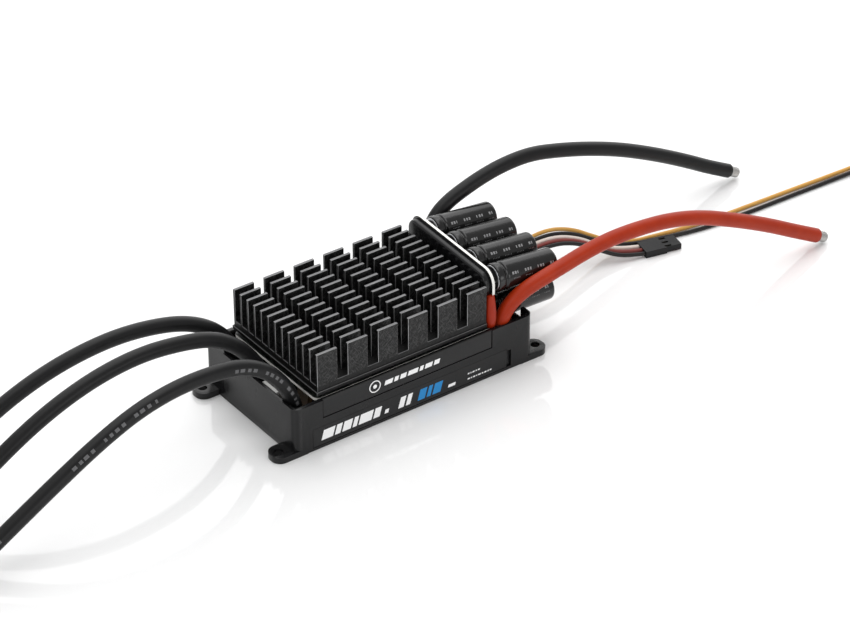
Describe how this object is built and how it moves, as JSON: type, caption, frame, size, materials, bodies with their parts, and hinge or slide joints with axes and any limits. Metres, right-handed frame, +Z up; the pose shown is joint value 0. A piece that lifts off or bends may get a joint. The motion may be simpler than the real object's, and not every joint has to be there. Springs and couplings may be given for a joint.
{
  "type": "electronic speed controller",
  "caption": "Brushless motor speed controller: footed case under a finned heat sink, with a bank of capacitors, silicone power leads and a signal plug.",
  "frame": {"origin": "centre of the four foot holes, on the underside of the case", "axes": "+Z up, away from the mounting surface; +X along the case towards the capacitors and battery leads; the printed long side faces -Y"},
  "size_m": [0.4415, 0.0608, 0.0461],
  "materials": {
    "case_plastic": "satin-gloss black moulded plastic",
    "panel_plastic": "satin black inset panel",
    "label_film": "dark printed film with plain marks",
    "anodised_black": "black anodised aluminium with bright cut edges",
    "screw_steel": "black oxide steel",
    "circuit_board": "solder-masked board with pale bare edge",
    "chip_black": "moulded black component",
    "thermal_grey": "soft grey heat-conducting pad",
    "brass_spacer": "plated brass",
    "copper": "tinned copper",
    "header_black": "moulded black header",
    "ceramic": "brown ceramic with tinned ends",
    "label_paper": "pale printed tag",
    "sleeve_black": "glossy shrunk sleeve with faint marks",
    "can_aluminium": "drawn aluminium",
    "seal_rubber": "black rubber",
    "tinned_wire": "tinned copper",
    "silicone_red": "smooth red silicone",
    "silicone_black": "smooth black silicone",
    "tinned_strand": "tinned twisted strands",
    "wire_white": "thin silicone wire",
    "wire_red": "thin silicone wire",
    "wire_black": "thin silicone wire",
    "wire_yellow": "thin silicone wire",
    "plug_plastic": "matte black moulded housing",
    "contact_metal": "plated contact"
  },
  "bodies": {
    "root": {"battery_lead_black": "silicone_black", "battery_lead_black_tip": "tinned_strand", "battery_lead_red": "silicone_red", "battery_lead_red_tip": "tinned_strand", "battery_terminals": "copper", "board_spacers": "brass_spacer", "capacitor_board": "circuit_board", "capacitor_board_cover": "case_plastic", "capacitor_cans": "can_aluminium", "capacitor_leads": "tinned_wire", "capacitor_lower_1": "sleeve_black", "capacitor_lower_2": "sleeve_black", "capacitor_lower_3": "sleeve_black", "capacitor_lower_4": "sleeve_black", "capacitor_seals": "seal_rubber", "capacitor_upper_1": "sleeve_black", "capacitor_upper_2": "sleeve_black", "capacitor_upper_3": "sleeve_black", "capacitor_upper_4": "sleeve_black", "case_screws": "screw_steel", "ceramic_capacitors": "ceramic", "control_board": "circuit_board", "gate_drivers": "chip_black", "heatsink": "anodised_black", "inspection_label": "label_paper", "label_plate_front": "label_film", "label_plate_rear": "label_film", "lower_case": "case_plastic", "microcontroller": "chip_black", "motor_lead_front": "silicone_black", "motor_lead_front_tip": "tinned_strand", "motor_lead_middle": "silicone_black", "motor_lead_middle_tip": "tinned_strand", "motor_lead_rear": "silicone_black", "motor_lead_rear_tip": "tinned_strand", "motor_terminals": "copper", "negative_link": "silicone_black", "phase_bars": "copper", "positive_link": "silicone_red", "power_board": "circuit_board", "power_mosfets": "chip_black", "program_plug_contacts": "contact_metal", "program_plug_housing": "plug_plastic", "program_wire_black": "wire_black", "program_wire_yellow": "wire_yellow", "side_panel_front": "panel_plastic", "side_panel_rear": "panel_plastic", "signal_header": "header_black", "signal_plug_contacts": "contact_metal", "signal_plug_housing": "plug_plastic", "signal_wire_black": "wire_black", "signal_wire_red": "wire_red", "signal_wire_white": "wire_white", "supply_bars": "copper", "thermal_pad": "thermal_grey", "voltage_regulators": "chip_black"}
  },
  "joints": []
}
